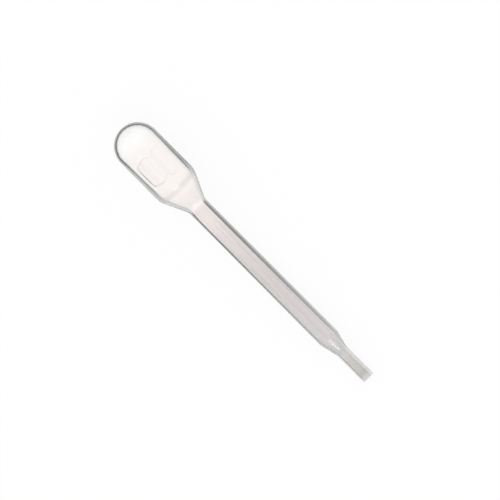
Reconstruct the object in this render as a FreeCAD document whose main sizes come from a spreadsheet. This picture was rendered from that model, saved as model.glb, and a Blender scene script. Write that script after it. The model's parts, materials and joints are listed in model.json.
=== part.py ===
import FreeCAD, Part
import math
import os
import Sketcher

# A short dropper pipette: a squeeze bulb with a round end, a conical shoulder, a long stem,
# a taper and a narrow tip, blown as one hollow piece and cut square at the tip.
#
# It is drawn along its own axis first: x runs from the end of the bulb to the tip, and r is
# the distance from the axis. It is then laid down as it comes to rest on a level surface,
# touching it at the shoulder and at the end of the stem, with the tip towards +X and one of
# its two finger flats on top.
# The origin is below the middle of the piece, on that surface. All lengths are millimetres.

NODE = "dropper_pipette"

SIZES = {
    "overall_length": (65.0, "end of the bulb to the cut end of the tip"),
    "bulb_diameter": (8.95, "outside of the squeeze bulb"),
    "bulb_length": (14.82, "end of the bulb to the corner of the shoulder"),
    "cone_length": (5.08, "shoulder corner to neck corner, along the axis"),
    "neck_diameter": (4.0, "outside of the stem at the neck"),
    "stem_diameter": (4.14, "outside of the stem where the taper starts"),
    "taper_length": (3.08, "stem to tip, along the axis"),
    "tip_diameter": (2.5, "outside of the tip"),
    "tip_length": (7.3, "straight part of the tip"),
    "bulb_wall": (0.6, "wall of the bulb and of the shoulder"),
    "stem_wall": (0.55, "wall of the stem"),
    "tip_bore": (1.4, "diameter of the hole in the tip"),
    "shoulder_round": (4.25, "outside radius between bulb and cone"),
    "neck_round": (2.4, "outside radius between cone and stem"),
    "stem_end_round": (3.3, "outside radius between stem and taper"),
    "tip_round": (4.4, "outside radius between taper and tip"),
    "grip_diameter": (5.7, "round outline of a finger flat, at its bottom"),
    "grip_depth": (0.43, "how far a flat is sunk below the bulb's surface"),
    "grip_draft": (20.0, "lean of the step round a flat, degrees from square"),
}


def make_sheet(document):
    """Writes the driving sizes into a spreadsheet, one row each, and gives them their names."""
    sheet = document.addObject("Spreadsheet::Sheet", "Sizes")
    for row, (alias, (value, meaning)) in enumerate(SIZES.items(), start=1):
        sheet.set(f"A{row}", alias)
        sheet.set(f"B{row}", str(value))
        sheet.setAlias(f"B{row}", alias)
        sheet.set(f"C{row}", meaning)
    document.recompute()
    return sheet


# Lengths worked out from the sheet, as expressions that sketches and features are bound to.
BULB_R = "Sizes.bulb_diameter / 2"
NECK_R = "Sizes.neck_diameter / 2"
STEM_R = "Sizes.stem_diameter / 2"
TIP_R = "Sizes.tip_diameter / 2"
BORE_R = "Sizes.tip_bore / 2"
TIP_WALL = f"({TIP_R} - {BORE_R})"
CONE_ANGLE = f"atan(({BULB_R} - {NECK_R}) / Sizes.cone_length)"
TAPER_ANGLE = f"atan(({STEM_R} - {TIP_R}) / Sizes.taper_length)"
NECK_X = "(Sizes.bulb_length + Sizes.cone_length)"
STEM_END_X = "(Sizes.overall_length - Sizes.tip_length - Sizes.taper_length)"
TIP_START_X = "(Sizes.overall_length - Sizes.tip_length)"
GRIP_R = "Sizes.grip_diameter / 2"
GRIP_LEVEL = f"({BULB_R} - Sizes.grip_depth)"
# The finger flats are in the middle of the bulb's straight side, from its round end to its corner.
GRIP_X = f"({BULB_R} + Sizes.bulb_length) / 2"

# The cavity runs out past the cut end, so that the tip is open.
OVERRUN = "1"
# A corner of the cavity keeps a round, even where the wall is thicker than the round outside.
LEAST_ROUND = "0.1"
# How near a round edge lies to its corner, in millimetres, to count as that corner's own.
SAME_PLACE = 1e-6

# Corners of the outside, from the shoulder to the cut end: x, r.
OUTER_CORNERS = {
    "shoulder": ("Sizes.bulb_length", BULB_R),
    "neck": (NECK_X, NECK_R),
    "stem_end": (STEM_END_X, STEM_R),
    "tip_start": (TIP_START_X, TIP_R),
    "mouth": ("Sizes.overall_length", TIP_R),
}

# Corners of the cavity. Each slanted wall is as thick, measured square to it, as the straight
# wall before it, so the corners inside lie a little nearer to the bulb than those outside.
INNER_CORNERS = {
    "shoulder": (
        f"Sizes.bulb_length - Sizes.bulb_wall * tan({CONE_ANGLE} / 2)",
        f"{BULB_R} - Sizes.bulb_wall",
    ),
    "neck": (
        f"{NECK_X} - (Sizes.bulb_wall / cos({CONE_ANGLE}) - Sizes.stem_wall) / tan({CONE_ANGLE})",
        f"{NECK_R} - Sizes.stem_wall",
    ),
    "stem_end": (
        f"{STEM_END_X} - Sizes.stem_wall * tan({TAPER_ANGLE} / 2)",
        f"{STEM_R} - Sizes.stem_wall",
    ),
    "tip_start": (
        f"{TIP_START_X} - (Sizes.stem_wall / cos({TAPER_ANGLE}) - {TIP_WALL}) / tan({TAPER_ANGLE})",
        BORE_R,
    ),
    "mouth": (f"Sizes.overall_length + {OVERRUN}", BORE_R),
}


def origin_plane(body, role):
    """The body's own origin plane with this role, such as XY_Plane."""
    return next(f for f in body.Origin.OriginFeatures if f.Role == role)


def bind(sketch, constraint, name, expression):
    """Adds a dimension to a sketch under a name and binds it to an expression."""
    index = sketch.addConstraint(constraint)
    sketch.renameConstraint(index, name)
    sketch.setExpression(f"Constraints.{name}", expression)


def make_profile(body, dome_x, dome_r, corners):
    """Half a section through the piece: a quarter circle for the round end, straight runs
    from corner to corner, the cut end, and the axis that closes it."""
    sketch = body.newObject("Sketcher::SketchObject", body.Name + "Profile")
    sketch.AttachmentSupport = (origin_plane(body, "XY_Plane"), [""])
    sketch.MapMode = "FlatFace"
    centre_x = sketch.evalExpression(dome_x)
    radius = sketch.evalExpression(dome_r)
    points = [FreeCAD.Vector(centre_x, radius, 0)]
    for along, out in corners.values():
        points.append(FreeCAD.Vector(sketch.evalExpression(along), sketch.evalExpression(out), 0))
    points.append(FreeCAD.Vector(points[-1].x, 0, 0))
    points.append(FreeCAD.Vector(centre_x - radius, 0, 0))
    circle = Part.Circle(FreeCAD.Vector(centre_x, 0, 0), FreeCAD.Vector(0, 0, 1), radius)
    arc = sketch.addGeometry(Part.ArcOfCircle(circle, math.pi / 2, math.pi), False)
    lines = []
    for start, end in zip(points, points[1:]):
        lines.append(sketch.addGeometry(Part.LineSegment(start, end), False))

    at_start, at_end, at_centre = 1, 2, 3
    origin_point, x_axis = (-1, 1), -1
    # An arc runs anticlockwise: from its top, where the bulb's side starts, to the round end.
    sketch.addConstraint(Sketcher.Constraint("Coincident", arc, at_start, lines[0], at_start))
    for line, following in zip(lines, lines[1:]):
        sketch.addConstraint(Sketcher.Constraint("Coincident", line, at_end, following, at_start))
    sketch.addConstraint(Sketcher.Constraint("Coincident", lines[-1], at_end, arc, at_end))
    sketch.addConstraint(Sketcher.Constraint("PointOnObject", arc, at_centre, x_axis))
    sketch.addConstraint(Sketcher.Constraint("PointOnObject", arc, at_end, x_axis))
    sketch.addConstraint(Sketcher.Constraint("Vertical", arc, at_centre, arc, at_start))
    bind(sketch, Sketcher.Constraint("Radius", arc, radius), "dome_r", dome_r)
    dome = Sketcher.Constraint("DistanceX", *origin_point, arc, at_centre, centre_x)
    bind(sketch, dome, "dome_x", dome_x)
    for line, point, (name, (along, out)) in zip(lines, points[1:], corners.items()):
        across = Sketcher.Constraint("DistanceX", *origin_point, line, at_end, point.x)
        bind(sketch, across, name + "_x", along)
        upward = Sketcher.Constraint("DistanceY", *origin_point, line, at_end, point.y)
        bind(sketch, upward, name + "_r", out)
    cut_end = lines[-2]
    sketch.addConstraint(Sketcher.Constraint("Vertical", cut_end))
    sketch.addConstraint(Sketcher.Constraint("PointOnObject", cut_end, at_end, x_axis))
    return sketch


def spin_profile(body, sketch):
    """Turns the half section once round the axis into a solid."""
    solid = body.newObject("PartDesign::Revolution", body.Name + "Solid")
    solid.Profile = sketch
    solid.ReferenceAxis = (sketch, ["H_Axis"])
    solid.Angle = 360
    return solid


def ring_edge(shape, along, out):
    """The name of the round edge at this x and this r."""
    for number, edge in enumerate(shape.Edges, start=1):
        if edge.Degenerated or not isinstance(edge.Curve, Part.Circle):
            continue
        centre = edge.Curve.Center
        if math.hypot(centre.x - along, centre.y, centre.z, edge.Curve.Radius - out) < SAME_PLACE:
            return f"Edge{number}"
    raise ValueError(f"there is no round edge at x {along:.3f}, r {out:.3f}")


def round_corner(body, base, name, corner, radius):
    """Rounds the corner of the profile, once round the piece."""
    along, out = (body.evalExpression(length) for length in corner)
    fillet = body.newObject("PartDesign::Fillet", body.Name + name)
    fillet.Base = (base, [ring_edge(base.Shape, along, out)])
    fillet.setExpression("Radius", radius)
    body.Document.recompute()
    return fillet


def sink_grips(body, level, bottom_r):
    """Sinks the two finger flats: a round, flat-bottomed tool with a leaning side is taken
    off above the flat's level, and the same again on the opposite side."""
    sketch = body.newObject("Sketcher::SketchObject", body.Name + "GripSection")
    sketch.AttachmentSupport = (origin_plane(body, "XZ_Plane"), [""])
    sketch.MapMode = "FlatFace"
    sketch.setExpression("AttachmentOffset.Base.x", GRIP_X)
    top = f"{BULB_R} + {OVERRUN}"
    top_r = f"{bottom_r} + ({top} - {level}) * tan(Sizes.grip_draft * 1 deg)"
    outline = {
        "bottom_middle": ("0", level),
        "bottom_rim": (bottom_r, level),
        "top_rim": (top_r, top),
        "top_middle": ("0", top),
    }
    points = []
    for out, up in outline.values():
        points.append(FreeCAD.Vector(sketch.evalExpression(out), sketch.evalExpression(up), 0))
    lines = []
    for start, end in zip(points, points[1:] + points[:1]):
        lines.append(sketch.addGeometry(Part.LineSegment(start, end), False))
    at_start, at_end = 1, 2
    origin_point, z_axis = (-1, 1), -2
    for line, following in zip(lines, lines[1:] + lines[:1]):
        sketch.addConstraint(Sketcher.Constraint("Coincident", line, at_end, following, at_start))
    for line, point, (name, (out, up)) in zip(lines, points, outline.items()):
        upward = Sketcher.Constraint("DistanceY", *origin_point, line, at_start, point.y)
        bind(sketch, upward, name + "_z", up)
        if out == "0":
            sketch.addConstraint(Sketcher.Constraint("PointOnObject", line, at_start, z_axis))
        else:
            across = Sketcher.Constraint("DistanceX", *origin_point, line, at_start, point.x)
            bind(sketch, across, name + "_r", out)
    body.Document.recompute()
    grip = body.newObject("PartDesign::Groove", body.Name + "Grip")
    grip.Profile = sketch
    grip.ReferenceAxis = (sketch, ["V_Axis"])
    grip.Angle = 360
    body.Document.recompute()
    both = body.newObject("PartDesign::Mirrored", body.Name + "GripPair")
    both.Originals = [grip]
    both.MirrorPlane = (origin_plane(body, "XY_Plane"), [""])
    body.Tip = both
    body.Document.recompute()
    return both


def make_blank(document, name, dome, corners, rounds, grip):
    """A solid of revolution with its corners rounded and the finger flats sunk into it."""
    body = document.addObject("PartDesign::Body", name)
    sketch = make_profile(body, *dome, corners)
    document.recompute()
    solid = spin_profile(body, sketch)
    document.recompute()
    for corner, radius in rounds.items():
        solid = round_corner(body, solid, corner.title().replace("_", ""), corners[corner], radius)
    sunk = sink_grips(body, *grip)
    if sunk.Shape.Volume >= solid.Shape.Volume:
        raise ValueError(f"{name}: the finger flats took nothing off")
    return body


def make_pipette(document):
    """The outside less the cavity, which leaves the blown wall."""
    outside = make_blank(
        document,
        "Outside",
        (BULB_R, BULB_R),
        OUTER_CORNERS,
        {
            "shoulder": "Sizes.shoulder_round",
            "neck": "Sizes.neck_round",
            "stem_end": "Sizes.stem_end_round",
            "tip_start": "Sizes.tip_round",
        },
        (GRIP_LEVEL, GRIP_R),
    )
    # The wall follows the corners and the flats, so each radius inside differs by the wall.
    cavity = make_blank(
        document,
        "Cavity",
        (BULB_R, f"{BULB_R} - Sizes.bulb_wall"),
        INNER_CORNERS,
        {
            "shoulder": f"max(Sizes.shoulder_round - Sizes.bulb_wall; {LEAST_ROUND})",
            "neck": "Sizes.neck_round + Sizes.stem_wall",
            "stem_end": f"max(Sizes.stem_end_round - Sizes.stem_wall; {LEAST_ROUND})",
            "tip_start": f"Sizes.tip_round + {TIP_WALL}",
        },
        (
            f"({GRIP_LEVEL} - Sizes.bulb_wall)",
            f"({GRIP_R} + Sizes.bulb_wall * tan((90 - Sizes.grip_draft) / 2 * 1 deg))",
        ),
    )
    pipette = document.addObject("Part::Cut", "Pipette")
    pipette.Base = outside
    pipette.Tool = cavity
    pipette.Label = NODE
    document.recompute()
    return pipette


def round_centre(before, corner, after, radius):
    """The centre of the arc of this radius that rounds a corner bulging away from the axis,
    as x and r: on the corner's bisector, towards the axis."""
    entering = math.atan2(corner[1] - before[1], corner[0] - before[0])
    leaving = math.atan2(after[1] - corner[1], after[0] - corner[0])
    bisector = (entering + leaving) / 2
    reach = radius / math.cos((entering - leaving) / 2)
    return corner[0] + reach * math.sin(bisector), corner[1] - reach * math.cos(bisector)


def rest_placement(sheet):
    """Lays the piece on the level surface z = 0: tipped until what stands out most beyond the
    shoulder touches as the shoulder does, and put over the origin."""
    corner = {}
    for name, lengths in OUTER_CORNERS.items():
        corner[name] = tuple(sheet.evalExpression(length) for length in lengths)
    bulb_start = (sheet.bulb_diameter / 2, sheet.bulb_diameter / 2)
    heel_arc = sheet.shoulder_round
    heel = round_centre(bulb_start, corner["shoulder"], corner["neck"], heel_arc)
    toe_arc = sheet.stem_end_round
    toe = round_centre(corner["neck"], corner["stem_end"], corner["tip_start"], toe_arc)
    tips = []
    for (x, r), arc in ((toe, toe_arc), (corner["mouth"], 0.0)):
        span = math.hypot(x - heel[0], heel[1] - r)
        tips.append(math.atan2(heel[1] - r, x - heel[0]) + math.asin((heel_arc - arc) / span))
    tip = min(tips)
    bulb_end = bulb_start[0] * math.cos(tip) - bulb_start[0]
    mouth_end = corner["mouth"][0] * math.cos(tip) + corner["mouth"][1] * math.sin(tip)
    height = heel[0] * math.sin(tip) + heel[1] * math.cos(tip) + heel_arc
    tilt = FreeCAD.Rotation(FreeCAD.Vector(0, 1, 0), math.degrees(tip))
    over_origin = FreeCAD.Vector(-(bulb_end + mouth_end) / 2, 0, height)
    return FreeCAD.Placement(over_origin, tilt)


def check(document, pipette):
    """Stops before anything is written if a feature failed or the piece isn't one sound solid."""
    for item in document.Objects:
        if "Invalid" in item.State or "Error" in item.State:
            raise ValueError(f"{item.Name} failed: {item.State}")
    shape = pipette.Shape
    if shape.isNull() or not shape.isValid() or len(shape.Solids) != 1:
        raise ValueError("the pipette isn't one valid solid")


def main():
    document = FreeCAD.newDocument("DropperPipette")
    sheet = make_sheet(document)
    pipette = make_pipette(document)
    pipette.Placement = rest_placement(sheet)
    document.recompute()
    check(document, pipette)
    box = pipette.Shape.optimalBoundingBox(False)
    print(f"{NODE}: {pipette.Shape.Volume:.2f} mm3 of plastic, {box.XLength:.3f} x "
          f"{box.YLength:.3f} x {box.ZLength:.3f} mm, lowest point {box.ZMin:.5f} mm")
    os.makedirs("parts", exist_ok=True)
    pipette.Shape.exportStep(f"parts/{NODE}.step")


main()
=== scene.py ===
# %% [markdown]
# # A dropper pipette, lying on a white table
#
# The real object is one blown piece of soft, clear plastic. It has a squeeze bulb with a round
# end and two finger flats, a conical shoulder, a long stem, a short taper and a narrow tip.
#
# The imported model is the fixed frame. All places here are in its metres, so nothing has to be
# fitted afterwards.

# %% Load the frame
import json

import bpy
import numpy as np
from mathutils import Matrix


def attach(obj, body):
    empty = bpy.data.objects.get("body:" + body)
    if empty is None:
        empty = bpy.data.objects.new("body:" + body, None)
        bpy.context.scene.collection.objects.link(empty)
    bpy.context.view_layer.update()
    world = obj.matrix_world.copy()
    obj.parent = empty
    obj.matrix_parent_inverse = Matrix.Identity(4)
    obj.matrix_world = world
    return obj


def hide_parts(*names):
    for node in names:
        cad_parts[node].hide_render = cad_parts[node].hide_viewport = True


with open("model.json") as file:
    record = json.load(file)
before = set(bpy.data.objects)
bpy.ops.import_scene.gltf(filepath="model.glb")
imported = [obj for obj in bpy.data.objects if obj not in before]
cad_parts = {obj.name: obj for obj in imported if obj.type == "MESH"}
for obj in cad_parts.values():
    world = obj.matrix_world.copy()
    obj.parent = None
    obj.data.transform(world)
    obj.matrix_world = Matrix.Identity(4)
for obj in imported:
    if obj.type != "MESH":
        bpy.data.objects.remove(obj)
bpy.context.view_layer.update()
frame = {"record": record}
MM = 0.001

# %% [markdown]
# ## Where the pipette's own axis runs
#
# The piece lies on its shoulder and on the end of its stem, so its axis leans a little. The
# record states the straight tip as a pin, with a direction and a middle point, and that point is
# 61.6 mm from the end of the bulb. So the frame itself says where the axis runs, and no angle has
# to be typed in. Two more directions finish the set: one across, level, and one up.

# %% Read the axis from the frame
PIN_FROM_BULB_END = 61.6
pin = next(m for m in frame["record"]["mounts"] if m["name"] == "tip_spigot")
ALONG = np.array(pin["axis"])
ACROSS = np.array([0.0, 1.0, 0.0])
UPWARD = np.cross(ALONG, ACROSS)
BULB_END = np.array(pin["pos_m"]) - PIN_FROM_BULB_END * MM * ALONG
LEAN_DOWN = float(np.arcsin(-ALONG[2]))
print("axis leans", round(np.degrees(LEAN_DOWN), 3), "degrees down to the tip")

# %% [markdown]
# ## The profile, as corners with a round at each
#
# A blow mould is turned and milled from straight runs with a round between each two. So is this
# profile: a list of corners, as millimetres along the axis and out from it, and a radius for each
# corner. The alternative, a spline through a dozen points, would give soft shapes, but never the
# truly straight stem and the truly round shoulder that the real piece has.

# %% A bent line with rounded corners
GRAIN = 0.02

def rounded_line(corners, radii):
    """A line through corners, each rounded, as points set GRAIN apart. At a corner that turns by an
    angle a, an arc of radius R starts R tan(a / 2) before the corner and ends as far after it. Its
    points are the centre plus R times a unit vector that turns evenly from the first normal to the
    second."""
    corners = np.array(corners, float)
    run = np.diff(corners, axis=0)
    length = np.linalg.norm(run, axis=1)
    unit = run / length[:, None]
    heading = np.arctan2(unit[:, 1], unit[:, 0])
    turn = np.concatenate([[0.0], np.diff(heading), [0.0]])
    radii = np.concatenate([[0.0], radii, [0.0]])
    cut = radii * np.tan(np.abs(turn) / 2)
    line = []
    for k in range(len(run)):
        straight = length[k] - cut[k] - cut[k + 1]
        along_run = cut[k] + np.linspace(0, straight, max(int(straight / GRAIN), 1) + 1)
        line.append(corners[k] + np.outer(along_run, unit[k]))
        if k + 1 < len(run):
            side = np.sign(turn[k + 1])
            centre = line[-1][-1] + side * radii[k + 1] * np.array([-unit[k][1], unit[k][0]])
            count = max(int(abs(turn[k + 1]) * radii[k + 1] / GRAIN), 8)
            angle = heading[k] - side * np.pi / 2 + np.linspace(0, turn[k + 1], count + 1)[1:-1]
            line.append(centre + radii[k + 1] * np.stack([np.cos(angle), np.sin(angle)], axis=1))
    return np.concatenate(line)

square_turn = rounded_line([(0, 0), (1, 0), (1, 1)], [0.5])
print("a square corner rounded by 0.5:", len(square_turn), "points")

# %% [markdown]
# ## The round end of the bulb
#
# The end of the bulb is a half ball, and so is the hollow in it, but for one thing: the plastic
# stretches most there, so the wall is thinnest at the very end. A quarter ellipse holds both. For
# the outside its depth is its radius, and for the hollow it is a little deeper than that.

# %% A quarter ellipse
def round_end(radius, depth, centre):
    """A quarter ellipse from the pole to the straight side: x is the centre less the depth times
    cos v and r is R sin v, for v from 0 to a right angle."""
    v = np.linspace(0, np.pi / 2, int(radius * np.pi / 2 / GRAIN))[:-1]
    return np.stack([centre - depth * np.cos(v), radius * np.sin(v)], axis=1)

print("a quarter circle of 1 mm:", len(round_end(1.0, 1.0, 1.0)), "points")

# %% [markdown]
# ## The outside
#
# All sizes are millimetres. The piece is a hundredth shorter than the CAD at each end, and the
# bulb a little slimmer, which leaves room for the raised line that the mould leaves. The cut at
# the tip is square with a hair of rounding, because the tip is cut off after blowing.

# %% The outside's outline
START, LENGTH = 0.01, 64.99
SHOULDER, NECK, STEM_END, TIP_START = 14.82, 19.9, 54.62, 57.7
BULB_R, NECK_R, STEM_R, TIP_R, BORE_R = 4.46, 2.0, 2.07, 1.25, 0.7
CUT_R = (TIP_R + BORE_R) / 2
HAIR = 0.06
CENTRE = START + BULB_R

outer_line = np.concatenate([
    round_end(BULB_R, BULB_R, CENTRE),
    rounded_line(
        [(CENTRE, BULB_R), (SHOULDER, BULB_R), (NECK, NECK_R), (STEM_END, STEM_R),
         (TIP_START, TIP_R), (LENGTH, TIP_R), (LENGTH, CUT_R)],
        [4.25, 2.4, 3.3, 4.4, HAIR],
    ),
])
widest = float(2 * outer_line[:, 1].max())
print("outside:", len(outer_line), "points, widest", round(widest, 2), "mm")

# %% [markdown]
# ## The inside
#
# The hollow has the same form, one wall smaller. Its corners lie a little nearer the bulb, which
# keeps the wall even through the cone and the taper. In the bulb the wall grows from its end to the
# shoulder, because the plastic has stretched less there. That wall sets where the painted dark band
# along the bulb's edge starts, so its thickness is worth getting right.

# %% The hollow's outline
END_WALL, BULB_WALL, MIDDLE_WALL, SHOULDER_WALL, STEM_WALL = 0.54, 0.6, 0.8, 0.86, 0.58
CAVITY_R = BULB_R - BULB_WALL
inner_line = np.concatenate([
    round_end(CAVITY_R, CAVITY_R + BULB_WALL - END_WALL, CENTRE),
    rounded_line(
        [(CENTRE, CAVITY_R), (9.0, BULB_R - MIDDLE_WALL), (14.6, BULB_R - SHOULDER_WALL),
         (19.66, NECK_R - STEM_WALL), (54.55, STEM_R - STEM_WALL), (57.6, BORE_R),
         (LENGTH, BORE_R), (LENGTH, CUT_R)],
        [20.0, 2.4, 2.0, 2.75, 4.95, HAIR],
    ),
])
print("inside:", len(inner_line), "points, the hole", 2 * BORE_R, "mm wide at the tip")

# %% [markdown]
# ## Sharing the points out
#
# A mesh should be fine where the shape is busy and coarse where it is plain. So each stretch of an
# outline gets a cost, and the points are set so that each two of them have the same cost between
# them. Two costs come from the shape itself: length, and bending, since a chord misses its arc by
# its length squared times the curvature over 8. A third is added where a small feature crosses the
# outline, such as the step round a finger flat.

# %% Equal shares
STEP, MISS = 0.9, 0.0015

def equal_shares(places, cost, count):
    """Places that divide a cost evenly. cost is what each stretch between two places costs. Its
    running total is read backwards, at count even steps from nothing to the whole."""
    total = np.concatenate([[0.0], np.cumsum(cost)])
    return np.interp(np.linspace(0, total[-1], count), total, places)

def share_out(line, busy):
    """Fewer points of a fine line. A stretch costs its length over STEP, plus the root of length
    times turn over 8 MISS, plus its length times busy, a function of the place along the axis."""
    run = np.diff(line, axis=0)
    length = np.hypot(run[:, 0], run[:, 1])
    turn = np.abs(np.diff(np.arctan2(run[:, 1], run[:, 0]), append=0.0))
    turn[-1] = 0.0
    cost = length / STEP + np.sqrt(length * turn / (8 * MISS)) + length * busy(line[1:, 0])
    number = np.arange(len(line))
    picked = equal_shares(number, cost, int(np.ceil(cost.sum())) + 1)
    x, r = (np.interp(picked, number, column) for column in line.T)
    return np.stack([x, r], axis=1)

print("an even cost shared by 5:", equal_shares(np.arange(5), np.ones(4), 5).tolist())

# %% [markdown]
# ## Where the finger flats lie
#
# A flat is a round pad, pressed into the bulb on top and below. Its middle, its radius and its
# level above the axis are needed now, because the outline has to be fine at its two ends. The
# flat cuts the bulb in a chord, so it ends on each side where the bulb's round comes down to it.

# %% Finger flats, and the outlines with fewer points
GRIP_X, GRIP_R, GRIP_LEVEL = 9.8, 2.85, 4.045
CHORD_Y = np.sqrt(BULB_R ** 2 - GRIP_LEVEL ** 2)
STEP_POINTS, STEP_REACH = 34, 0.16
HOLLOW_POINTS, HOLLOW_END = 1.2, 14

def near_step(x):
    """Points a millimetre to add near the two ends of a flat: STEP_POINTS times a bell curve."""
    return STEP_POINTS * np.exp(-((np.abs(x - GRIP_X) - GRIP_R) / STEP_REACH) ** 2)

def in_bulb(x):
    """Points a millimetre to add inside the bulb, as far as HOLLOW_END."""
    return HOLLOW_POINTS * (x < HOLLOW_END)

outer = share_out(outer_line, near_step)
inner = share_out(inner_line, in_bulb)
print("a flat is", round(2 * float(CHORD_Y), 2), "mm wide and", 2 * GRIP_R, "mm long")
print("profile points:", len(outer), "outside,", len(inner), "inside")

# %% [markdown]
# ## From a profile to a closed skin
#
# Carrying the profile round the axis gives a grid of points. One parameter runs along the
# profile and the other round the axis. The angles are shared out in the same way as the profile's
# points: they crowd at the two sides, where the mould's halves meet, and where the straight edges
# of the finger flats run.

# %% The angles round the axis
ROUND = 220
SEAM_SHARE, SEAM_REACH = 7.0, 0.022
CHORD_SHARE, CHORD_REACH = 4.5, 0.035
fine = np.linspace(0, 2 * np.pi, 7201)
at_seam = np.exp(-(np.sin(fine[1:]) / SEAM_REACH) ** 2)
at_chord = np.exp(-((np.abs(np.cos(fine[1:])) - CHORD_Y / BULB_R) / CHORD_REACH) ** 2)
around = equal_shares(fine, 1.0 + SEAM_SHARE * at_seam + CHORD_SHARE * at_chord, ROUND + 1)[:-1]
apart = np.degrees(np.diff(around)).round(2)
print("columns:", ROUND, "from", float(apart.min()), "to", float(apart.max()), "degrees")

# %% [markdown]
# ## Sinking a flat
#
# The pad has a flat bottom and a step that leans outward. It could be cut with a boolean, but a
# boolean leaves long thin triangles and a knife-sharp step, and this step is soft, as the mould's
# is. So the height of each point is limited instead: inside the pad's outline to the flat's level,
# and outside it to a level that climbs as steeply as the step. Rounding the limit and the place
# where it takes over gives the soft edge.

# %% A limit on the height
STEP_SLOPE = np.tan(np.radians(50.0))

def sink_flat(x, y, z, level, radius, soft):
    """The height z, held under a limit. The limit is the level, plus, outside the radius, the
    distance beyond it divided by the slope. A soft minimum of a and b is half of their sum less
    the root of their difference squared plus soft squared."""
    beyond = (np.hypot(x - GRIP_X, y) - radius) / STEP_SLOPE
    limit = level + (beyond + np.sqrt(beyond ** 2 + soft ** 2)) / 2
    return (z + limit - np.sqrt((z - limit) ** 2 + soft ** 2)) / 2

sunk = BULB_R - sink_flat(GRIP_X, 0.0, BULB_R, GRIP_LEVEL, GRIP_R, 0.08)
print("a flat is sunk by", round(float(sunk), 3), "mm in its middle")

# %% [markdown]
# ## Rows that bend with the pad
#
# Straight rows of the grid would cross the pad's round ends at a slant and leave its step ragged.
# A finer mesh everywhere would hide that at a great cost. Bending the rows costs nothing: near each
# end of the pad they follow its circle, so the step is crisp with the points that are there.

# %% Bend the rows, and turn the profile
BEND_REACH = 1.2

def bend_rows(x, y):
    """Places along the axis, moved so that the rows at GRIP_R from the pad's middle follow its
    circle. The move is what the circle falls short of GRIP_R at that y, and it fades to nothing
    BEND_REACH away."""
    short = GRIP_R - np.sqrt(GRIP_R ** 2 - np.minimum(np.abs(y), CHORD_Y) ** 2)
    fade = np.clip(1 - np.abs(np.abs(x - GRIP_X) - GRIP_R) / BEND_REACH, 0, 1)
    return x - np.sign(x - GRIP_X) * fade * short

def skin(profile, level, radius, soft, side, bend):
    """Points of a turned skin with both flats: y is side plus r cos v, z is r sin v, and z is then
    limited above and below. side is how far the skin's middle lies off the axis, for each row."""
    x = np.repeat(profile[:, :1], ROUND, axis=1)
    y = profile[:, 1:] * np.cos(around)
    z = profile[:, 1:] * np.sin(around)
    if bend:
        x = bend_rows(x, y)
    z = sink_flat(x, y, z, level, radius, soft[0])
    z = -sink_flat(x, y, -z, level, radius, soft[1])
    return np.stack([x, y + side[:, None], z], axis=-1)

most = GRIP_X + GRIP_R - bend_rows(GRIP_X + GRIP_R, CHORD_Y)
print("a row is bent by up to", round(float(most), 3), "mm")

# %% [markdown]
# ## The hollow lies a little off the middle
#
# Blown plastic never settles quite evenly, so one side's wall is a tenth of a millimetre thicker
# than the other's. It makes the wall, and the painted dark band along it, wider on one edge than on
# the other. The shift is a table of places and values with straight lines between them, and a small
# helper reads such a table.

# %% Drift
def between(x, pairs):
    """A table of (place, value) pairs, read at x along the straight lines between them."""
    places, values = zip(*pairs)
    return np.interp(x, places, values)

DRIFT = [(4, 0.0), (8, 0.1), (12, 0.1), (14.5, 0.0), (19, 0.0), (22, -0.15), (52, -0.15), (57, 0.0)]

def drift(x):
    """How far the hollow's middle lies off the axis at x, to the side of +Y."""
    return between(x, DRIFT)

print("drift in the bulb", float(drift(10.0)), "and in the stem", float(drift(40.0)), "mm")

# %% [markdown]
# ## Two hairlines from the mould
#
# The mould has two halves, and a fine raised line runs all round the piece where they meet. The
# flats are on inserts set into the halves, and each insert leaves such a line round its pad. They
# are at most a few hundredths of a millimetre high, but they catch the light, and without them the
# piece looks drawn, not moulded. Both are heights added along the skin's own outward direction.

# %% Adding the hairlines
SEAM_HIGH, SEAM_WIDE = 0.012, 0.07
WITNESS_HIGH, WITNESS_WIDE = 0.04, 0.08
CORNER = 0.35
# each insert line's strength sets both its raised height and the painted shade along it
UPPER_INSERT = [(-1.0, 0.55), (-0.85, 0.25), (0.2, 0.15), (0.9, 0.03)]
LOWER_INSERT = 0.08

def witness(x, y, z):
    """How strong an insert's line is, from 0 to 1: a bell curve of the distance from the pad's
    outline. The outline is the larger of two distances, from a circle and from two chords, and a
    soft maximum rounds the corners between them. The upper line is strongest on the side of -Y and
    fades towards the other. The lower one is faint all round. The strength sets both the line's
    raised height and the painted shade along it."""
    circle, chords = np.hypot(x - GRIP_X, y) - GRIP_R, np.abs(y) - CHORD_Y
    outline = (circle + chords + np.hypot(circle - chords, CORNER)) / 2
    strength = np.where(z > 0, between(y / CHORD_Y, UPPER_INSERT), LOWER_INSERT)
    return strength * np.exp(-(outline / WITNESS_WIDE) ** 2)

def raise_lines(points):
    """Points moved outward, along y and z over r, by the seam's bell curve of the height off the
    parting plane, and by the inserts' lines."""
    x, y, z = np.moveaxis(points, -1, 0)
    r = np.maximum(np.hypot(y, z), 1e-6)
    lift = SEAM_HIGH * np.exp(-(z / SEAM_WIDE) ** 2) + WITNESS_HIGH * witness(x, y, z)
    return points + lift[..., None] * np.stack([np.zeros_like(x), y / r, z / r], axis=-1)

print("the seam stands", SEAM_HIGH, "mm proud, an insert's line up to", WITNESS_HIGH, "mm")

# %% [markdown]
# ## Both skins
#
# The outer skin gets a crisp step on top and a softer one below, and the hairlines. The inner skin
# only sags behind the flats, wide and soft, because it never touched the mould. Its rows run the
# other way, from the tip back to the bulb, so that the two can be joined at the tip's cut.

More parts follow.
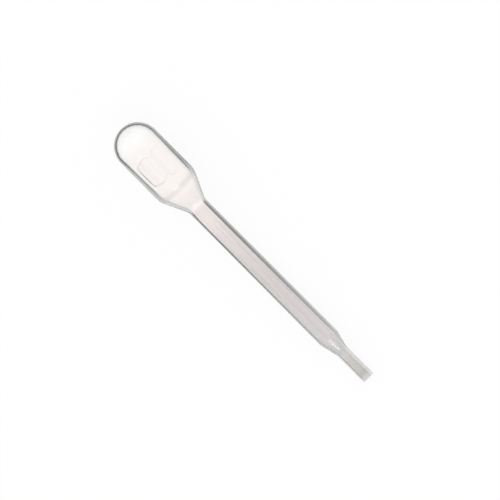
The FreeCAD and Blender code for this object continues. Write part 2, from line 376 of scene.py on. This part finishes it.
# %% Make both skins
CRISP, SOFTER, SAG = 0.08, 0.3, 0.9
WALL_AT_FLAT, SAG_WIDER = 0.76, 0.4
outer_skin = skin(outer[1:], GRIP_LEVEL, GRIP_R, (CRISP, SOFTER), 0 * outer[1:, 0], True)
outer_skin = raise_lines(outer_skin)
inner_profile = inner[1:-1][::-1]
inner_skin = skin(
    inner_profile, GRIP_LEVEL - WALL_AT_FLAT, GRIP_R + SAG_WIDER, (SAG, SAG),
    drift(inner_profile[:, 0]), False,
)
print("outer skin", outer_skin.shape, "inner skin", inner_skin.shape)

# %% [markdown]
# ## One closed mesh
#
# The two skins are one grid, joined at the cut of the tip. Quads join each row to the next, and
# a fan closes each pole. The points are then put in the frame: along, across and up from the end
# of the bulb.

# %% Points and faces
rows = np.concatenate([outer_skin, inner_skin])
poles = np.array([[outer[0, 0], 0, 0], [inner[0, 0], drift(inner[0, 0]), 0]])
points = np.concatenate([rows.reshape(-1, 3), poles])
placed = BULB_END + MM * (points @ np.stack([ALONG, ACROSS, UPWARD]))

index = np.arange(len(rows) * ROUND).reshape(len(rows), ROUND)
turned = np.roll(index, -1, axis=1)
quads = np.stack([index[:-1], turned[:-1], turned[1:], index[1:]], axis=-1).reshape(-1, 4)
first, last = len(points) - 2, len(points) - 1
near_fan = np.stack([np.full(ROUND, first), turned[0], index[0]], axis=-1)
far_fan = np.stack([np.full(ROUND, last), index[-1], turned[-1]], axis=-1)
print("points:", len(points), "quads:", len(quads), "fan triangles:", 2 * ROUND)

# %% [markdown]
# ## Which side is out
#
# The order of a face's corners says which side is out, and glass needs that to be right, because
# light bends one way going in and the other way coming out. So the volume is worked out from the
# faces, as the sum of the small pyramids from the origin to each triangle. Inside out it would be
# negative. The wall is thicker than the CAD's in the bulb, so it is a little more plastic.

# %% Build the piece
mesh = bpy.data.meshes.new("blown_plastic")
mesh.from_pydata(placed.tolist(), [], quads.tolist() + near_fan.tolist() + far_fan.tolist())
mesh.shade_smooth()
pipette = bpy.data.objects.new("pipette", mesh)
bpy.context.scene.collection.objects.link(pipette)
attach(pipette, "root")
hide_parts("dropper_pipette")

triangles = np.concatenate([quads[:, [0, 1, 2]], quads[:, [0, 2, 3]], near_fan, far_fan])
a, b, c = np.moveaxis(points[triangles], 1, 0)
volume = np.einsum("ij,ij->", a, np.cross(b, c)) / 6
print("pipette:", len(triangles), "triangles,", round(float(volume), 1), "mm3 of plastic")

# %% [markdown]
# ## Where the painted dark band starts
#
# Through the middle of a clear tube one looks straight through two thin walls. Near its edge the
# line of sight enters the wall and never reaches the hollow: the light is turned back inside the
# plastic. That band is painted shade: the material darkens the colour of the turned light itself.
# It finds the turned light by itself, but it doesn't know how far the hollow reaches, so each point
# stores that: the angle at which light that just grazes the hollow leaves the skin again. Its sine
# is the hollow's radius over the piece's and over the plastic's bending power. Layer Weight's
# Facing is 1 less the cosine, so that is what is stored. On the side of -Y of the bulb, where its
# wall is also thicker, the painted shade starts a little earlier.

# %% The angle where the painted dark band starts
BENDING = 1.5
LARGEST_RATIO = 0.95
SHADE_EARLIER = [(5, 0.0), (8, 0.055), (14, 0.055), (15.5, 0.0)]

def facing(sine):
    """Layer Weight's Facing for light that leaves at an angle with this sine: 1 less its cosine."""
    return 1 - np.sqrt(1 - sine ** 2)

def shade_band_start(x):
    """Facing where the painted dark band starts. The sine is the hollow's radius over the piece's
    and over BENDING. A table along the axis is taken off on the side of -Y, so the painted shade
    starts sooner there, and it fades to nothing on the other side."""
    hollow = between(x, inner) + drift(x) * np.cos(around)
    ratio = np.clip(hollow / between(x, outer), 0, LARGEST_RATIO)
    return facing(ratio / BENDING) - between(x, SHADE_EARLIER) * (1 - np.cos(around)) / 2

print("the band starts at Facing", np.round(shade_band_start(30.0)[0], 3), "on the stem")

# %% [markdown]
# ## How strong the painted edge shade is
#
# The painted shade is fainter on the skins that slope: on the shoulder, the taper and the tip. In
# the cone and near the tip it is also painted darker on the side of -Y than on the other. Both are
# tables along the axis, and the second one is multiplied by the cosine of the angle round it.

# %% Strength along the piece and round it
# painted shade: how strong the dark edge band is along the piece
SHADE_STRENGTH = [
    (0, 1.1), (2, 1.06), (5, 1.03), (8, 1.01), (13.5, 1.01),
    (15.5, 0.52), (20.0, 0.52),
    (20.5, 1.0), (30, 1.0), (42, 0.92), (53, 0.82),
    (56, 0.6), (58.5, 0.5), (64.8, 0.5), (64.95, 0.15),
]
# painted shade on one side: this table, times the cosine round the axis, makes the band darker on
# the side of -Y
SHADE_ON_ONE_SIDE = [
    (0, 0.0), (2, -0.02), (6, -0.015), (9, 0.005), (13.5, 0.005),
    (15.5, -0.12), (19.5, -0.12),
    (20.5, 0.0), (56, 0.0),
    (59, -0.38), (64.8, -0.38), (64.95, 0.0),
]

def shade_band_strength(x):
    """The painted edge shade's strength along the piece, plus the cosine of the angle round it
    times a second table, which paints the shade darker on one side. 0 is no band, and 1 the band as
    its colours say."""
    return between(x, SHADE_STRENGTH) + between(x, SHADE_ON_ONE_SIDE) * np.cos(around)

on_stem, on_tip = (float(between(x, SHADE_STRENGTH)) for x in (30, 60))
print("strength on the stem", on_stem, "and on the tip", on_tip)

# %% [markdown]
# ## Three numbers for each point
#
# A material can't look up a table by itself, but it can read a number stored on each point of the
# mesh, an attribute. There are three: the two above, which set the painted dark band, and the
# painted shade along the inserts' lines, a tone which is 1 less the line's strength, squared. The
# bulb's round end counts as part of its straight side, because its hollow has the same share of its
# radius all over.

# %% Store them
rows_x = np.concatenate([outer[1:, :1], inner_profile[:, :1]])
pressed = witness(*np.moveaxis(outer_skin, -1, 0))
# painted shade: the first two numbers set the dark edge band, the third darkens the inserts' lines
numbers = {
    "shade_band_start": shade_band_start(np.maximum(rows_x, CENTRE)),
    "shade_band_strength": shade_band_strength(rows_x),
    "painted_line_shade": np.concatenate([(1 - pressed) ** 2, np.ones((len(inner_skin), ROUND))]),
}
for name, grid in numbers.items():
    values = np.append(grid, [grid[0, 0], grid[-1, 0]])
    mesh.attributes.new(name, "FLOAT", "POINT").data.foreach_set("value", values)
    print(name, "from", round(float(grid.min()), 3), "to", round(float(grid.max()), 3))

# %% [markdown]
# ## Small helpers for nodes
#
# A material is a graph of nodes, and most of the lines that build one only place a node and join
# it up. Three helpers take that over: a colour ramp, a mix of two colours and a sum. Each takes
# plain values or other nodes' sockets, so the lines that use them read like a formula.

# %% A ramp, a mix and a sum
def feed(tree, socket, value):
    """Give a socket a value: another node's socket, a colour of three numbers, or one number."""
    if isinstance(value, bpy.types.NodeSocket):
        tree.links.new(value, socket)
    else:
        socket.default_value = (*value, 1.0) if isinstance(value, tuple) else value

def ramp(tree, source, stops, kind="EASE"):
    """A colour ramp from (place, colour) stops, fed by a socket."""
    node = tree.nodes.new("ShaderNodeValToRGB")
    node.color_ramp.interpolation = kind
    elements = node.color_ramp.elements
    while len(elements) < len(stops):
        elements.new(0.5)
    for element, (place, colour) in zip(elements, stops):
        element.position = place
        element.color = (*colour, 1.0)
    feed(tree, node.inputs["Fac"], source)
    return node.outputs["Color"]

def blend(tree, factor, a, b, kind="MIX"):
    """Mix two colours, by a factor."""
    node = tree.nodes.new("ShaderNodeMix")
    node.data_type = "RGBA"
    node.blend_type = kind
    for name, value in (("Factor", factor), ("A", a), ("B", b)):
        feed(tree, node.inputs[name], value)
    return node.outputs["Result"]

def reckon(tree, what, a, b):
    """One Math node: ADD, SUBTRACT, MULTIPLY or MAXIMUM of two numbers."""
    node = tree.nodes.new("ShaderNodeMath")
    node.operation = what
    feed(tree, node.inputs[0], a)
    feed(tree, node.inputs[1], b)
    return node.outputs["Value"]

def grey(value):
    """The same amount of red, green and blue."""
    return (value, value, value)

print("helpers ready; half grey is", grey(0.5))

# %% [markdown]
# ## Clear plastic
#
# Polyethylene is clear when it is thin. It bends light about as glass does, so the shader is plain
# glass: all of the light that isn't mirrored goes through. The base colour tints the light each
# time it passes a skin.

# %% The plastic's shader
plastic = bpy.data.materials.new("clear_polyethylene")
plastic.use_nodes = True
tree = plastic.node_tree
shader = tree.nodes["Principled BSDF"]
shader.inputs["Transmission Weight"].default_value = 1.0
shader.inputs["IOR"].default_value = BENDING
pipette.data.materials.append(plastic)
print("plastic bends light by", shader.inputs["IOR"].default_value)

# %% [markdown]
# ## A ruler along the axis
#
# The colour and the gloss change along the piece, so they need to know how far along it a point
# lies. Object coordinates alone would be wrong, because the axis leans: across a bulb that is half
# a millimetre of error, and it would draw each change twice, once for the upper skin and once for
# the lower. A Mapping node of the texture kind undoes a place, a turn and a size, so its X runs
# from 0 at the end of the bulb to 1 at the tip, true to the axis.

# %% Distance along the axis
where = tree.nodes.new("ShaderNodeTexCoord")
ruler = tree.nodes.new("ShaderNodeMapping")
ruler.vector_type = "TEXTURE"
ruler.inputs["Location"].default_value = BULB_END
ruler.inputs["Rotation"].default_value = (0.0, LEAN_DOWN, 0.0)
ruler.inputs["Scale"].default_value = (LENGTH * MM, LENGTH * MM, LENGTH * MM)
tree.links.new(where.outputs["Object"], ruler.inputs["Vector"])
ruler_parts = tree.nodes.new("ShaderNodeSeparateXYZ")
tree.links.new(ruler.outputs["Vector"], ruler_parts.inputs["Vector"])
along = ruler_parts.outputs["X"]
print("ruler: 0 at", np.round(BULB_END, 4).tolist(), "and 1 after", LENGTH, "mm")

# %% [markdown]
# ## The plastic's colour, with painted shade and a painted highlight
#
# Blowing thins the bulb most, so the plastic is clearest there. Where the wall is thicker it is a
# little milky and warm grey, and the tip is greyest. The grey along the stem and the tip is partly
# that milkiness and partly painted shade. Two narrow changes stand out, both painted light: a
# darker line where the shoulder turns into the cone, which is painted shade, and a bright one at
# the neck, which is a painted highlight. So the colour is a ramp along the piece, with places in
# millimetres from the end of the bulb.

# %% Colour along the piece
# the plastic's tint with painted light: the dark stops at 15.2 and 15.5 mm are painted shade, the
# bright stop at 19.9 mm a painted highlight, and the stem's grey partly painted shade
TINT_AND_PAINTED_LIGHT = [
    (3.0, (1.00, 1.00, 0.99)),
    (5.5, (0.99, 0.97, 0.96)),
    (9.0, (0.98, 0.955, 0.945)),
    (14.8, (0.985, 0.96, 0.945)),
    (15.2, (0.93, 0.905, 0.89)),
    (15.5, (0.93, 0.905, 0.89)),
    (16.0, (0.99, 0.965, 0.95)),
    (17.2, (0.965, 0.93, 0.92)),
    (18.0, (0.955, 0.92, 0.91)),
    (19.2, (0.93, 0.915, 0.90)),
    (19.9, (1.00, 0.96, 0.955)),
    (21.0, (0.915, 0.88, 0.865)),
    (23.5, (0.935, 0.893, 0.88)),
    (28.0, (0.88, 0.845, 0.835)),
    (33.5, (0.85, 0.82, 0.81)),
    (43.5, (0.815, 0.79, 0.785)),
    (54.5, (0.82, 0.80, 0.795)),
    (57.0, (0.80, 0.785, 0.785)),
    (57.9, (0.77, 0.755, 0.755)),
    (58.8, (0.80, 0.79, 0.785)),
    (60.0, (0.77, 0.755, 0.74)),
    (62.5, (0.75, 0.74, 0.725)),
    (63.8, (0.70, 0.695, 0.68)),
    (64.5, (0.81, 0.80, 0.79)),
]
# body is the tint with its painted shade and painted highlight
body = ramp(tree, along, [(place / LENGTH, colour) for place, colour in TINT_AND_PAINTED_LIGHT], "LINEAR")
print("colour:", len(TINT_AND_PAINTED_LIGHT), "stops from", TINT_AND_PAINTED_LIGHT[0][0], "to", TINT_AND_PAINTED_LIGHT[-1][0], "mm")

# %% [markdown]
# ## Lines drawn in the plastic
#
# The stem was pulled long while it was soft, and that leaves faint lines along it. Noise that is
# stretched twenty times along the axis has that look. A second Mapping node stretches it, on the
# ruler's coordinates, so the lines run along the piece and not along the world. They grow from
# almost nothing in the bulb to full strength in the stem, between two places on the ruler.

# %% Stretched noise
LINES_ALONG, LINES_ROUND = 4.55, 91.0
FAINT, FAINT_UNTIL, FULL_FROM = 0.03, 0.3, 0.4
stretched = tree.nodes.new("ShaderNodeMapping")
stretched.inputs["Scale"].default_value = (LINES_ALONG, LINES_ROUND, LINES_ROUND)
tree.links.new(ruler.outputs["Vector"], stretched.inputs["Vector"])
lines = tree.nodes.new("ShaderNodeTexNoise")
lines.inputs["Scale"].default_value = 1.0
lines.inputs["Detail"].default_value = 2.0
tree.links.new(stretched.outputs["Vector"], lines.inputs["Vector"])

drawn = tree.nodes.new("ShaderNodeMapRange")
drawn.inputs["From Min"].default_value = FAINT_UNTIL
drawn.inputs["From Max"].default_value = FULL_FROM
drawn.inputs["To Min"].default_value = FAINT
tree.links.new(along, drawn.inputs["Value"])
off_middle = reckon(tree, "SUBTRACT", lines.outputs["Fac"], 0.5)
streaks = reckon(tree, "ADD", reckon(tree, "MULTIPLY", off_middle, drawn.outputs["Result"]), 0.5)
print("lines are stretched", round(LINES_ROUND / LINES_ALONG), "times")

# %% [markdown]
# ## Gloss
#
# Blown plastic copies a polished mould, so it is glossy, but the drawn lines make it a little
# uneven. On the round of the shoulder and on the taper the mould is duller, and a lamp's mirror
# image spreads into a soft streak there. So the roughness is the sum of two ramps: one over the
# lines and one along the ruler.

# %% Roughness
GLOSSY, LESS_GLOSSY = 0.03, 0.07
SHOULDER_MATT, TAPER_MATT = 0.13, 0.08
gloss = ramp(tree, streaks, [(0.3, grey(GLOSSY)), (0.7, grey(LESS_GLOSSY))])
MATT = [
    (0.215, grey(0.0)),
    (0.224, grey(SHOULDER_MATT)),
    (0.236, grey(SHOULDER_MATT)),
    (0.245, grey(0.0)),
    (0.82, grey(0.0)),
    (0.84, grey(TAPER_MATT)),
    (0.89, grey(TAPER_MATT)),
    (0.91, grey(0.0)),
]
matt = ramp(tree, along, MATT)
tree.links.new(reckon(tree, "ADD", gloss, matt), shader.inputs["Roughness"])
print("roughness from", GLOSSY, "to", round(LESS_GLOSSY + SHOULDER_MATT, 2))

# %% [markdown]
# ## The lines' relief and tone
#
# The same lines are felt and seen: a relief of a few hundredths of a millimetre, far too fine for
# the mesh, and a slightly darker tone where one is deep. The tone multiplies the plastic's colour,
# and so does the painted shade along the inserts' lines that the mesh's points carry.

# %% Bump and tone
def attribute(tree, name):
    """One number stored on the mesh, by its name."""
    node = tree.nodes.new("ShaderNodeAttribute")
    node.attribute_name = name
    return node.outputs["Fac"]

RELIEF, RELIEF_STRENGTH, DEEP_LINE = 0.03, 0.15, 0.92
bump = tree.nodes.new("ShaderNodeBump")
bump.inputs["Strength"].default_value = RELIEF_STRENGTH
bump.inputs["Distance"].default_value = RELIEF * MM
tree.links.new(streaks, bump.inputs["Height"])
tree.links.new(bump.outputs["Normal"], shader.inputs["Normal"])
streak_tone = ramp(tree, streaks, [(0.34, grey(DEEP_LINE)), (0.5, grey(1.0))])
body = blend(tree, 1.0, body, streak_tone, "MULTIPLY")
# painted shade along the inserts' lines darkens the colour
body = blend(tree, 1.0, body, attribute(tree, "painted_line_shade"), "MULTIPLY")
print("relief", RELIEF, "mm at most, tone down to", DEEP_LINE)

# %% [markdown]
# ## How dark the painted edge shade is across its width
#
# The painted shade isn't one flat tone: it is darkest where it starts, at the hollow's edge, and
# lighter towards the outline. Layer Weight gives the angle at which light leaves the skin. A Map
# Range node stretches it, so that the band starts at 0.2 and light that comes out just along the
# skin is at 1. A ramp over that gives the painted tone, and the stored strength mixes it with an
# open, lighter painted tone.

# %% Tones of the painted edge shade
EDGE_SHADE_TONES = [
    (0.0, grey(0.01)),
    (0.34, grey(0.02)),
    (0.52, grey(0.18)),
    (0.76, grey(0.26)),
    (1.0, grey(0.14)),
]
BAND_STARTS, OPEN_SHADE_TONE = 0.2, 0.8
band_start = attribute(tree, "shade_band_start")
leaving = tree.nodes.new("ShaderNodeLayerWeight")
leaving.inputs["Blend"].default_value = 0.5
into_wall = tree.nodes.new("ShaderNodeMapRange")
into_wall.inputs["From Max"].default_value = facing(1 / BENDING)
into_wall.inputs["To Min"].default_value = BAND_STARTS
into_wall.clamp = False
tree.links.new(leaving.outputs["Facing"], into_wall.inputs["Value"])
tree.links.new(band_start, into_wall.inputs["From Min"])
tone = ramp(tree, into_wall.outputs["Result"], EDGE_SHADE_TONES)
# painted shade: the stored strength mixes the band's dark tones with the open tone
band = blend(tree, attribute(tree, "shade_band_strength"), grey(OPEN_SHADE_TONE), tone)
band.node.clamp_factor = False
band.node.clamp_result = True
print("the band runs from its start to Facing", round(float(facing(1 / BENDING)), 4))

# %% [markdown]
# ## Painted shade only on light that was turned back
#
# The painted shade darkens only light that was turned back in the wall, not what is seen straight
# through. Light Path's Is Reflection Ray is 1 for light that was just mirrored, and Backfacing is 1
# when it meets a skin from inside the plastic. Both together pick out light that was turned back in
# the wall and is about to leave it. In the open middle such light comes out nearly square to the
# skin, and a last mask leaves it alone: the mask fades in a little before the band's own start.

# %% Pick out the turned light
SOONER, LEAST, FADE = 0.07, 0.07, 0.03
rays = tree.nodes.new("ShaderNodeLightPath")
faces = tree.nodes.new("ShaderNodeNewGeometry")
mirrored, from_inside = rays.outputs["Is Reflection Ray"], faces.outputs["Backfacing"]
turned_back = reckon(tree, "MULTIPLY", mirrored, from_inside)
dark_from = reckon(tree, "MAXIMUM", reckon(tree, "SUBTRACT", band_start, SOONER), LEAST)
slanting = tree.nodes.new("ShaderNodeMapRange")
tree.links.new(dark_from, slanting.inputs["From Min"])
tree.links.new(reckon(tree, "ADD", dark_from, FADE), slanting.inputs["From Max"])
tree.links.new(leaving.outputs["Facing"], slanting.inputs["Value"])
turned_back = reckon(tree, "MULTIPLY", turned_back, slanting.outputs["Result"])
# painted shade: turned-back light takes the band's dark colour in place of the plastic's
tree.links.new(blend(tree, turned_back, body, band), shader.inputs["Base Color"])
print("clear_polyethylene has", len(tree.nodes), "nodes")

# %% [markdown]
# ## A white table
#
# The piece is nearly colourless, so it lies on plain white, where its edges stand out. The table
# is a disc with two shaders. Straight on, the camera sees mostly an even glow, so the table is
# white wherever the light falls, and a small share of plain white paint, which keeps the soft
# shadow under the piece. Through the plastic and in its gloss it is all glow, as bright as round
# the piece.

# %% The table's disc
TABLE_RADIUS, RIM_POINTS = 1.5, 96

def flat_disc(name, radius, count):
    """A disc on the table: its rim is radius times cos and sin of an even angle."""
    angle = np.linspace(0, 2 * np.pi, count, endpoint=False)
    rim = np.stack([radius * np.cos(angle), radius * np.sin(angle), np.zeros(count)], axis=1)
    disc = bpy.data.meshes.new(name)
    disc.from_pydata(rim.tolist(), [], [list(range(count))])
    return bpy.data.objects.new(name, disc)

table = flat_disc("table", TABLE_RADIUS, RIM_POINTS)
bpy.context.scene.collection.objects.link(table)
print("table:", 2 * TABLE_RADIUS, "m across")

# %% [markdown]
# ## Paint and glow
#
# A Mix Shader chooses between the two by how the table is seen. Light Path says which: its Camera
# Ray for what is seen straight on, its Transmission and Glossy Rays for what is seen through the
# plastic and in its gloss. All other light meets the paint, and is thrown back as by any table.

# %% The table's material
GLOW_SHARE, WHITE_PAINT = 0.92, (0.92, 0.92, 0.92)
white = bpy.data.materials.new("white_table")
white.use_nodes = True
tree = white.node_tree
tree.nodes.remove(tree.nodes["Principled BSDF"])
paint = tree.nodes.new("ShaderNodeBsdfDiffuse")
feed(tree, paint.inputs["Color"], WHITE_PAINT)
glow = tree.nodes.new("ShaderNodeEmission")
feed(tree, glow.inputs["Color"], grey(1.0))
rays = tree.nodes.new("ShaderNodeLightPath")
seen = reckon(tree, "MULTIPLY", rays.outputs["Is Camera Ray"], GLOW_SHARE)
seen = reckon(tree, "MAXIMUM", seen, rays.outputs["Is Glossy Ray"])
seen = reckon(tree, "MAXIMUM", seen, rays.outputs["Is Transmission Ray"])
mix = tree.nodes.new("ShaderNodeMixShader")
tree.links.new(seen, mix.inputs["Fac"])
tree.links.new(paint.outputs["BSDF"], mix.inputs[1])
tree.links.new(glow.outputs["Emission"], mix.inputs[2])
tree.links.new(mix.outputs["Shader"], tree.nodes["Material Output"].inputs["Surface"])
table.data.materials.append(white)
print("the camera sees", GLOW_SHARE, "glow and", round(1 - GLOW_SHARE, 2), "paint")

# %% [markdown]
# ## A pale room
#
# Clear plastic has no look of its own: it shows the room, bent and mirrored. The room here is a
# sky that is white overhead and a little greyer towards the horizon, as round a light tent, and
# plain white where the camera looks past the table.

# %% The world
HORIZON, OVERHEAD, OVERHEAD_FROM, PAST_TABLE = 0.95, 1.0, 0.8, 0.99
world = bpy.data.worlds.new("studio")
bpy.context.scene.world = world
world.use_nodes = True
tree = world.node_tree
direction = tree.nodes.new("ShaderNodeTexCoord")
height = tree.nodes.new("ShaderNodeSeparateXYZ")
tree.links.new(direction.outputs["Generated"], height.inputs["Vector"])
shades = [(0.0, grey(HORIZON)), (OVERHEAD_FROM, grey(OVERHEAD))]
sky = ramp(tree, height.outputs["Z"], shades)
rays = tree.nodes.new("ShaderNodeLightPath")
seen_sky = blend(tree, rays.outputs["Is Camera Ray"], sky, grey(PAST_TABLE))
tree.links.new(seen_sky, tree.nodes["Background"].inputs["Color"])
print("sky from", HORIZON, "at the horizon to", OVERHEAD)

# %% [markdown]
# ## The camera
#
# It looks down on the piece, which lies across the view from upper left to lower right, bulb
# first. It leans over by 20 degrees, so it sees the finger flats from a little to one side. Its
# directions are the pipette's own three, turned by two angles. It stands far back with a long
# lens, so that near and far look alike. The lens follows from the width that it should see at the
# piece: focal length is sensor times distance over that width.

# %% Where the camera looks
DISTANCE, FIELD, SENSOR = 0.8, 0.0926, 36.0
TURN, LEAN = np.radians(45.13), np.radians(20.0)
AIM_RIGHT, AIM_UP = 0.991, 0.621
view = np.cos(LEAN) * UPWARD + np.sin(LEAN) * ACROSS
low = np.sin(LEAN) * UPWARD - np.cos(LEAN) * ACROSS
right = np.cos(TURN) * ALONG - np.sin(TURN) * low
up = -np.sin(TURN) * ALONG - np.cos(TURN) * low
middle = BULB_END + 0.5 * LENGTH * MM * ALONG + AIM_RIGHT * MM * right + AIM_UP * MM * up
print("camera looks at", np.round(middle / MM, 2).tolist(), "mm")

# %% [markdown]
# ## Standing things by their own directions
#
# A camera and a lamp both look down their own -z. Rather than three turning angles, each gets a
# matrix whose columns are its right, up and back directions and its place. The lamp will use the
# same helper.

# %% Place the camera
def stand(thing, place, right, up, back):
    """Put a camera or lamp at a place: its own x, y and z run to the right, up and back."""
    frame_of_it = np.eye(4)
    frame_of_it[:3] = np.stack([right, up, back, place], axis=1)
    thing.matrix_world = Matrix(frame_of_it.tolist())

data = bpy.data.cameras.new("camera")
data.sensor_width = SENSOR
data.lens = SENSOR * DISTANCE / FIELD
data.clip_start = 0.01
data.clip_end = 10
camera = bpy.data.objects.new("camera", data)
bpy.context.scene.collection.objects.link(camera)
stand(camera, middle + DISTANCE * view, right, up, view)
bpy.context.scene.camera = camera
print("lens", round(data.lens, 1), "mm,", DISTANCE, "m away")

# %% [markdown]
# ## One soft lamp
#
# The only spot of light on the piece is a small streak on the taper. A lamp shows in a skin where
# that skin's own direction is half way between the lamp and the eye. So the direction of a skin
# that slopes 15 degrees to the tip, and faces 8 degrees to the side, is worked out first, and the
# lamp stands where that skin mirrors it. It is an ellipse, long across the piece, which gives a
# streak on a skin that is round that way.

# %% The lamp
SLOPE, SIDE = np.radians(15), np.radians(8)
LAMP_SHORT, LAMP_LONG, LAMP_DISTANCE, LAMP_WATTS = 0.12, 0.40, 0.7, 0.45
lamp = bpy.data.lights.new("soft_lamp", "AREA")
lamp.shape = "ELLIPSE"
lamp.size = LAMP_SHORT
lamp.size_y = LAMP_LONG
lamp.energy = LAMP_WATTS
soft_lamp = bpy.data.objects.new("soft_lamp", lamp)
bpy.context.scene.collection.objects.link(soft_lamp)
skin_faces = np.cos(SLOPE) * (np.cos(SIDE) * view + np.sin(SIDE) * low) + np.sin(SLOPE) * ALONG
away = 2 * (skin_faces @ view) * skin_faces - view
lamp_up = np.cross(away, ALONG) / np.linalg.norm(np.cross(away, ALONG))
stand(soft_lamp, middle + LAMP_DISTANCE * away, np.cross(lamp_up, away), lamp_up, away)
print("soft lamp at", np.round(soft_lamp.matrix_world.translation, 3), "metres")

# %% [markdown]
# ## Colours as they are written
#
# Standard shows each colour as its material says. Filmic transforms would turn the white table
# grey.

# %% View settings
bpy.context.scene.view_settings.view_transform = "Standard"
print("view transform:", bpy.context.scene.view_settings.view_transform)

# %% [markdown]
# ## The end
#
# The last line brings the view layer up to date.

# %% Finish
bpy.context.view_layer.update()
